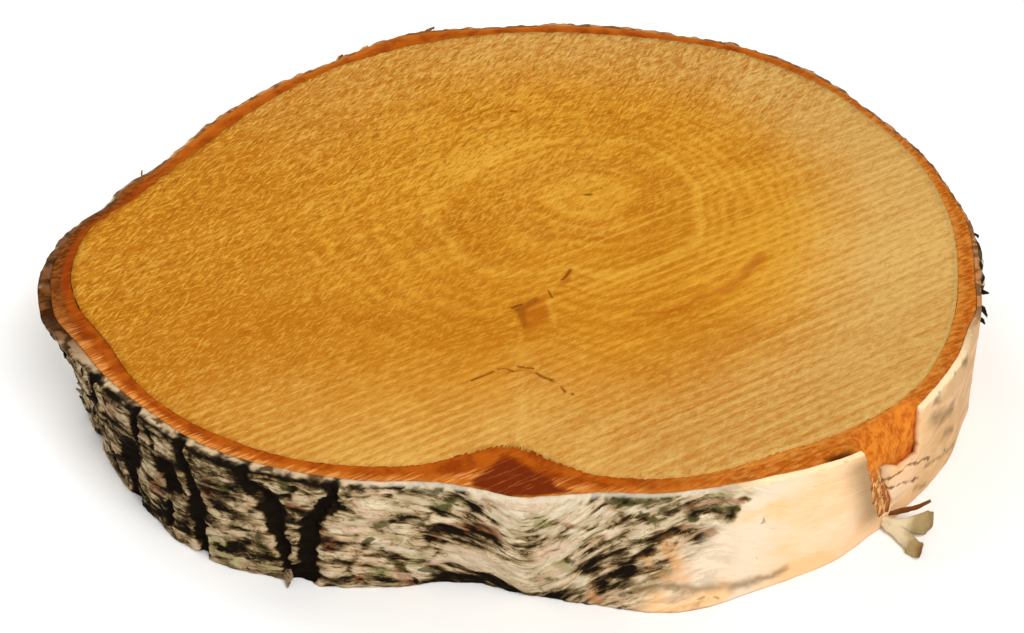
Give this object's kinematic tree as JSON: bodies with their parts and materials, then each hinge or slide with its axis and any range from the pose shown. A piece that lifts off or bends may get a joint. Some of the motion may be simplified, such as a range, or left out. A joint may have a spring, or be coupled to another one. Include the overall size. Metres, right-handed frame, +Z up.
{
  "type": "birch wood slice",
  "caption": "Round sawn slice of a birch trunk with its bark on, lying flat as a board, plinth or centrepiece.",
  "frame": {"origin": "middle of the slice's underside, at the middle of its box", "axes": "+Z up through the thickness, +X along the longest width, from the pointed side to the round side"},
  "size_m": [0.2614, 0.2403, 0.035],
  "materials": {
    "sawn_wood": "rough sawn end grain, dry and unvarnished, with growth rings and saw marks",
    "inner_bark": "rust-coloured corky inner bark, matt and slightly fibrous",
    "outer_bark": "white papery birch bark, matt, with black fissures, dark pores and green lichen"
  },
  "bodies": {
    "root": {"wood": "sawn_wood", "inner_bark": "inner_bark", "outer_bark": "outer_bark"}
  },
  "joints": []
}
